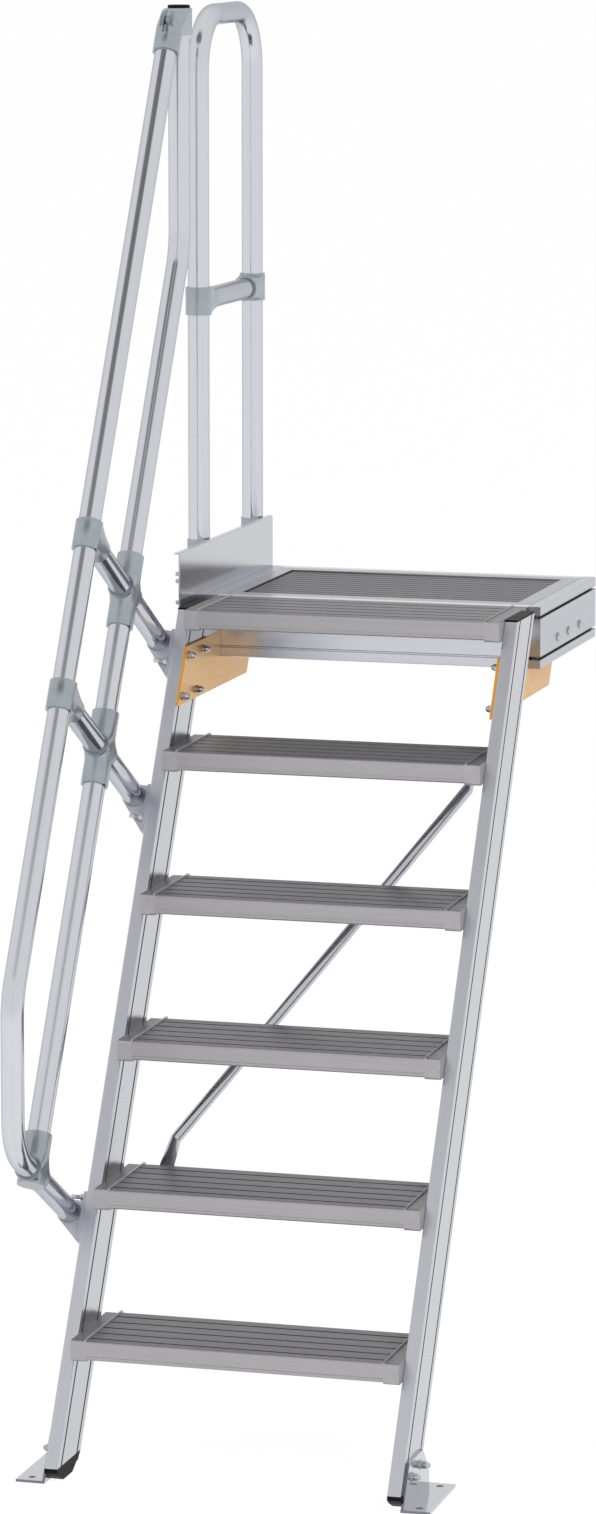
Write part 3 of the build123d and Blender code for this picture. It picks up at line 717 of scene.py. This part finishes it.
handrail_points = [
    slope_spot(RAIL_X, HAND, HANDRAIL_END),
    slope_at_y(HAND, HANDRAIL_LOW_Y),
    slope_spot(RAIL_X, low_behind, STATIONS["lower"]),
    slope_spot(RAIL_X, KNEE - CLAMP_GAP, STATIONS["lower"]),
]
knee_points = [
    slope_spot(RAIL_X, KNEE, STATIONS["lower"]),
    slope_at_y(KNEE, knee_y),
    spot(RAIL_X, knee_y, knee_top),
]
guard_points = [
    spot(RAIL_X, guard_front, GUARD_FOOT_Z),
    spot(RAIL_X, guard_front, GUARD_TOP_Z),
    spot(RAIL_X, guard_back, GUARD_TOP_Z),
    spot(RAIL_X, guard_back, GUARD_FOOT_Z),
]
crossbar_points = [
    spot(RAIL_X, guard_front + CLAMP_GAP, CROSSBAR_Z),
    spot(RAIL_X, guard_back - CLAMP_GAP, CROSSBAR_Z),
]
tube_piece("smooth_handrail", "handrail", [(handrail_points, HANDRAIL_BENDS)])
tube_piece("smooth_knee_rail", "knee_rail", [(knee_points, [KNEE_BEND])])
tube_piece("smooth_guard_loop", "guard_loop", [(guard_points, [GUARD_BEND, GUARD_BEND])])
tube_piece("smooth_crossbar", "guard_crossbar", [(crossbar_points, [])])


def standoff(start, end, along):
    """A straight tube square to the slope, between two distances behind the nosing line."""
    return [slope_spot(RAIL_X, start, along), slope_spot(RAIL_X, end, along)], []


for level, along in STATIONS.items():
    node = "lower_standoff" if level == "lower" else f"{level}_standoffs"
    runs = [standoff(KNEE + CLAMP_GAP, STANDOFF_END, along)]
    if level != "lower":
        runs.append(standoff(HAND + CLAMP_GAP, KNEE - CLAMP_GAP, along))
    tube_piece(f"smooth_{level}_standoffs", node, runs)


# The top clamp's cheeks run from the socket's domed end to the sleeve's top edge, beside the clamp's slot.
CHEEK_RADIUS = 25.45
CHEEK_ROUND = 0.7
CHEEK_DOME = 12.0
DOME_STEP_DEGREES = 15
SLEEVE_HEIGHT = 51.0
RIDGE_HALF = 13.0
RIDGE_SETBACK = 25.0
RIDGE_SHOULDER = 20.0
RIDGE_CHEST = (8.0, 9.5)
SLOT_HALF = 5.5
COVER = 0.1
FRONT_COVER = 0.3
TOP_STEP = 0.6
HALF_STEPS = 24

sleeve_up = ALONG_Y
socket_up = Vector((0.0, -SINE, COSINE))
ridge_y = tip_y - RIDGE_SETBACK * SINE
ridge_z = tip_z + RIDGE_SETBACK * COSINE
ridge_profile = [
    (ridge_y - RIDGE_SHOULDER * COSINE - FRONT_COVER, ridge_z - RIDGE_SHOULDER * SINE + COVER),
    (ridge_y - FRONT_COVER, ridge_z),
    (ridge_y + RIDGE_CHEST[0], ridge_z + RIDGE_CHEST[1]),
    (ridge_y + RIDGE_SHOULDER, knee_top + COVER),
]


def half_ring(centre, up, radius, side):
    """Points round a circle, from a slot's edge outwards, on one side of the clamp."""
    limit = math.acos(SLOT_HALF / radius)
    ring = []
    for i in range(HALF_STEPS + 1):
        angle = -limit + 2 * limit * i / HALF_STEPS
        offset = ALONG_X * (side * math.cos(angle)) + up * math.sin(angle)
        ring.append(centre + offset * (radius / 1000.0))
    return ring


def cheek_points(side):
    """Points whose convex hull is one cheek."""
    points = []
    for z in (knee_top - SLEEVE_HEIGHT, knee_top - TOP_STEP):
        points += half_ring(spot(RAIL_X, knee_y, z), sleeve_up, CHEEK_RADIUS, side)
    points += half_ring(spot(RAIL_X, knee_y, knee_top + COVER), sleeve_up, CHEEK_RADIUS - CHEEK_ROUND, side)
    points += half_ring(slope_spot(RAIL_X, HAND, HANDRAIL_END), socket_up, CHEEK_RADIUS, side)
    for degrees in range(0, 91, DOME_STEP_DEGREES):
        angle = math.radians(degrees)
        height = SOCKET_END - CHEEK_DOME * (1 - math.sin(angle))
        radius = CHEEK_RADIUS - CHEEK_DOME * (1 - math.cos(angle))
        points += half_ring(slope_spot(RAIL_X, HAND, height), socket_up, radius, side)
    for x in (SLOT_HALF, RIDGE_HALF):
        points += [spot(RAIL_X + side * x, y, z) for y, z in ridge_profile]
    return points


cheek_mesh = bmesh.new()
for side in (-1, 1):
    corners = [cheek_mesh.verts.new(point) for point in cheek_points(side)]
    hull = bmesh.ops.convex_hull(cheek_mesh, input=corners)
    inner = [item for item in hull["geom_interior"] if isinstance(item, bmesh.types.BMVert)]
    bmesh.ops.delete(cheek_mesh, geom=inner, context="VERTS")
new_piece("top_clamp_cheeks", cheek_mesh, casting)


# Each fastener is a stack of rings: height, radius, and the width across flats where the ring is hexagonal.
RING_SIDES = 48
WASHER = [(0, 8.5, 0), (1.4, 8.5, 0), (1.6, 8.2, 0), (1.6, 7.0, 13), (2.2, 7.6, 13)]
DOME_NUT = (
    WASHER + [(7.6, 7.6, 13), (8.2, 6.8, 13)]
    + [(8.2 + 6.6 * math.sin(t * math.pi / 16), 6.2 * math.cos(t * math.pi / 16), 0) for t in range(8)]
    + [(14.9, 0.4, 0)]
)
STUD_NUT = WASHER + [
    (7.8, 7.6, 13), (8.4, 6.6, 13), (8.4, 4.0, 0), (27.0, 4.0, 0), (28.0, 3.2, 0), (28.0, 0.3, 0),
]
TALL_NUT = [
    (0, 9.0, 0), (1.4, 9.0, 0), (1.6, 8.7, 0), (1.6, 7.2, 13.5), (2.3, 7.8, 13.5), (12.6, 7.8, 13.5),
    (13.3, 6.8, 13.5), (13.3, 4.0, 0), (18.4, 4.0, 0), (19.2, 3.2, 0), (19.2, 0.3, 0),
]
HEX_BOLT = [
    (0, 8.0, 0), (1.3, 8.0, 0), (1.5, 7.7, 0), (1.5, 6.6, 13), (2.0, 7.5, 13), (6.2, 7.5, 13),
    (6.9, 6.5, 13), (7.0, 4.4, 0), (6.6, 4.0, 0), (6.6, 0.3, 0),
]
ROUND_SCREW = [
    (0, 5.2, 0), (0.8, 5.2, 0), (2.0, 4.7, 0), (2.9, 3.6, 0), (3.2, 2.6, 0), (3.2, 2.1, 4),
    (1.6, 2.0, 4), (1.6, 0.2, 0),
]
CAP_SCREW = [(0, 4.6, 0), (5.6, 4.6, 0), (6.2, 4.0, 0), (6.2, 2.4, 4), (3.0, 2.3, 4), (3.0, 0.2, 0)]


def sized(rings, wide, tall):
    """The same fastener, wider and taller by two factors."""
    return [(height * tall, radius * wide, flats * wide) for height, radius, flats in rings]


def ring_reach(radius, flats, angle):
    """Distance of a ring's outline from its axis, in a direction."""
    if not flats:
        return radius
    return min(radius, flats / 2 / math.cos(angle % (math.pi / 3) - math.pi / 6))


def fastener_group(name, items):
    """One piece of several fasteners, each given by its rings, its foot and the way it faces."""
    mesh = bmesh.new()
    for rings, foot, facing in items:
        axis = Vector(facing).normalized()
        side = axis.orthogonal().normalized()
        other = axis.cross(side)
        loops = []
        for height, radius, flats in rings:
            loop = []
            for step in range(RING_SIDES):
                angle = 2 * math.pi * step / RING_SIDES
                outward = side * math.cos(angle) + other * math.sin(angle)
                offset = outward * ring_reach(radius, flats, angle)
                loop.append(mesh.verts.new(foot + (axis * height + offset) / 1000.0))
            loops.append(loop)
        for low, high in zip(loops, loops[1:]):
            band_of_faces(mesh, low, high)
        mesh.faces.new(loops[-1])
        mesh.faces.new(list(reversed(loops[0])))
    new_piece(name, mesh, zinc_fastener)


# Joining plates: four nuts through each stringer and two through each side rail
PLATE_FACE = INNER_X - 5.0
PLATE_UPPER_Z = 1411.0
PLATE_LOWER_Z = 1338.0
STRINGER_NUTS_BEHIND = (60.0, 140.0)
RAIL_NUTS_Y = (1010.0, 1075.0)

for side, name in ((-1, "left_plate_nuts"), (1, "right_plate_nuts")):
    places = [
        (slope_y(behind, z), z) for behind in STRINGER_NUTS_BEHIND for z in (PLATE_UPPER_Z, PLATE_LOWER_Z)
    ]
    places += [(y, PLATE_UPPER_Z) for y in RAIL_NUTS_Y]
    fastener_group(name, [(DOME_NUT, spot(side * PLATE_FACE, y, z), (-side, 0, 0)) for y, z in places])

# Right side rail: three screw heads in its outer face
SIDE_SCREW = sized(ROUND_SCREW, wide=1.7, tall=1.7)
SIDE_SCREW_Y = (1098.5, 1189.5, 1285.0)
SIDE_SCREW_Z = 1423.0
fastener_group("side_rail_screws", [
    (SIDE_SCREW, spot(OUTER_X, y, SIDE_SCREW_Z), (1, 0, 0)) for y in SIDE_SCREW_Y
])

# Floor brackets: two nuts on each upright flange, given by their Y, Z and relative height
FLOOR_FACE = OUTER_X + 5.0
FLOOR_NUTS = ((-19.0, 50.0, 0.85), (39.0, 56.5, 1.0))

for side, name in ((-1, "left_floor_bolts"), (1, "right_floor_bolts")):
    fastener_group(name, [
        (sized(TALL_NUT, 1.0, tall), spot(side * FLOOR_FACE, y, z), (side, 0, 0))
        for y, z, tall in FLOOR_NUTS
    ])

# Stringer brackets: two studs each, given by their level and their distances behind and along the slope
BRACKET_FACE = -OUTER_X - 8.0
BRACKET_STUDS = [
    ("lower", 60.0, 29.0), ("lower", 107.0, -4.0), ("middle", 52.0, -44.0), ("upper", 52.0, -44.0),
    ("middle", 107.0, -4.0), ("upper", 107.0, -4.0),
]
fastener_group("stringer_bracket_bolts", [
    (STUD_NUT, slope_spot(BRACKET_FACE, behind, STATIONS[level] + above), (-1, 0, 0))
    for level, behind, above in BRACKET_STUDS
])

# Toe board: three screws near its front edge
TOE_SCREW = sized(HEX_BOLT, wide=0.6, tall=1.2)
TOE_FACE = -OUTER_X - 3.0
TOE_SCREW_Y = 790.0
TOE_SCREW_Z = (1560.0, 1546.0, 1505.0)
fastener_group("toe_board_screws", [
    (TOE_SCREW, spot(TOE_FACE, TOE_SCREW_Y, z), (-1, 0, 0)) for z in TOE_SCREW_Z
])

# Post brackets: four screws beside each post of the guard loop
POST_SCREW_SHIFT = 18.5
POST_SCREW_Z = (1400.0, 1452.0)
fastener_group("post_bracket_bolts", [
    (ROUND_SCREW, spot(BRACKET_FACE, y + shift, z), (-1, 0, 0))
    for y in (guard_front, guard_back)
    for shift in (-POST_SCREW_SHIFT, POST_SCREW_SHIFT)
    for z in POST_SCREW_Z
])

# Top clamp: one screw in its slot
CLAMP_SCREW_INSET = 7.0
CLAMP_SCREW_DROP = 20.0
clamp_screw_spot = spot(RAIL_X, ridge_y + CLAMP_SCREW_INSET, knee_top - CLAMP_SCREW_DROP)
fastener_group("top_clamp_screw", [(CAP_SCREW, clamp_screw_spot, (0, -1, 0))])

# Diagonal brace: one screw at each flattened end, behind the second and the fifth tread
BRACE_FACE = 221.0
BRACE_SCREW_DROP = 18.0
fastener_group("brace_bolts", [
    (ROUND_SCREW, spot(-BRACE_X, GOING + BRACE_FACE, 2 * RISE - BRACE_SCREW_DROP), (0, 1, 0)),
    (ROUND_SCREW, spot(BRACE_X, 4 * GOING + BRACE_FACE, 5 * RISE - BRACE_SCREW_DROP), (0, 1, 0)),
])


# Floor, world and lamps
WHITE = (1, 1, 1, 1)
FLOOR_SIZE = 300.0
FLOOR_COLOR = (0.86, 0.86, 0.87, 1)
FLOOR_GLOW = 1.05
FLOOR_GLOW_SHARE = 0.90
PATCH_AZIMUTH = math.radians(-5.0)
PATCH_HEIGHT = math.radians(60.0)
PATCH_REACH_DEGREES = (30.0, 14.0)
PATCH_EDGE = 0.45
PATCH_LEVEL = 0.22
SKY_LEVELS = (0.94, 0.92)
SKY_TOP = 0.9
LIGHT_LEVEL = 0.55


def white_floor():
    """Pale floor that shows white and still keeps the shadow of the object."""
    material = bpy.data.materials.new("floor_paint")
    n = Nodes(material)
    paint = n.add("ShaderNodeBsdfDiffuse")
    paint.inputs["Color"].default_value = FLOOR_COLOR
    glow = n.add("ShaderNodeEmission")
    glow.inputs["Color"].default_value = WHITE
    glow.inputs["Strength"].default_value = FLOOR_GLOW
    share = n.math("MULTIPLY", n.shown(), FLOOR_GLOW_SHARE)
    n.close("ShaderNodeOutputMaterial", share, paint, glow)
    return material


def studio_world():
    """Even light for dull surfaces, and a pale sky with one dimmer patch for metal to mirror."""
    world = bpy.data.worlds.new("studio")
    bpy.context.scene.world = world
    n = Nodes(world)
    direction = n.add("ShaderNodeTexCoord").outputs["Generated"]
    level = math.cos(PATCH_HEIGHT)
    centre = Vector((
        math.sin(PATCH_AZIMUTH) * level, -math.cos(PATCH_AZIMUTH) * level, math.sin(PATCH_HEIGHT)
    ))
    side = centre.cross(UP).normalized()
    squares = []
    for axis, reach in zip((side, side.cross(centre)), PATCH_REACH_DEGREES):
        away = n.dot(direction, axis / math.sin(math.radians(reach)))
        squares.append(n.math("POWER", away, 2.0))
    patch = n.band(n.math("ADD", *squares), PATCH_EDGE, 1.0, PATCH_LEVEL, 1.0, smooth=True)
    sky = n.band(n.parts(direction)[2], 0.0, SKY_TOP, *SKY_LEVELS)
    seen = n.add("ShaderNodeBackground")
    seen.inputs["Color"].default_value = WHITE
    n.link(n.math("MULTIPLY", patch, sky), seen.inputs["Strength"])
    light = n.add("ShaderNodeBackground")
    light.inputs["Color"].default_value = WHITE
    light.inputs["Strength"].default_value = LIGHT_LEVEL
    n.close("ShaderNodeOutputWorld", n.shown(), light, seen)


def softbox(name, location, target, size, power):
    """A lamp that lights the object and doesn't show in gloss."""
    data = bpy.data.lights.new(name, "AREA")
    data.shape = "RECTANGLE"
    data.size, data.size_y = size
    data.energy = power
    lamp = bpy.data.objects.new(name, data)
    lamp.visible_glossy = False
    lamp.location = location
    lamp.rotation_euler = (Vector(target) - Vector(location)).to_track_quat("-Z", "Y").to_euler()
    bpy.context.scene.collection.objects.link(lamp)


floor_z = spot(0, 0, 0).z
floor_corners = [
    (x * FLOOR_SIZE, y * FLOOR_SIZE, floor_z) for x, y in ((-1, -1), (1, -1), (1, 1), (-1, 1))
]
floor_mesh = bpy.data.meshes.new("studio_floor")
floor_mesh.from_pydata(floor_corners, [], [(0, 1, 2, 3)])
floor_mesh.materials.append(white_floor())
floor = bpy.data.objects.new("studio_floor", floor_mesh)
bpy.context.scene.collection.objects.link(floor)

studio_world()
softbox("key_lamp", location=(4.5, -6.0, 4.5), target=(0, -0.7, -0.2), size=(3.0, 3.0), power=420)
softbox("fill_lamp", location=(-5.0, -5.0, 2.5), target=(0, -0.7, 0), size=(3.5, 3.5), power=160)
softbox("rear_lamp", location=(2.0, 5.0, 4.5), target=(0, -0.7, 0), size=(4.0, 3.0), power=160)
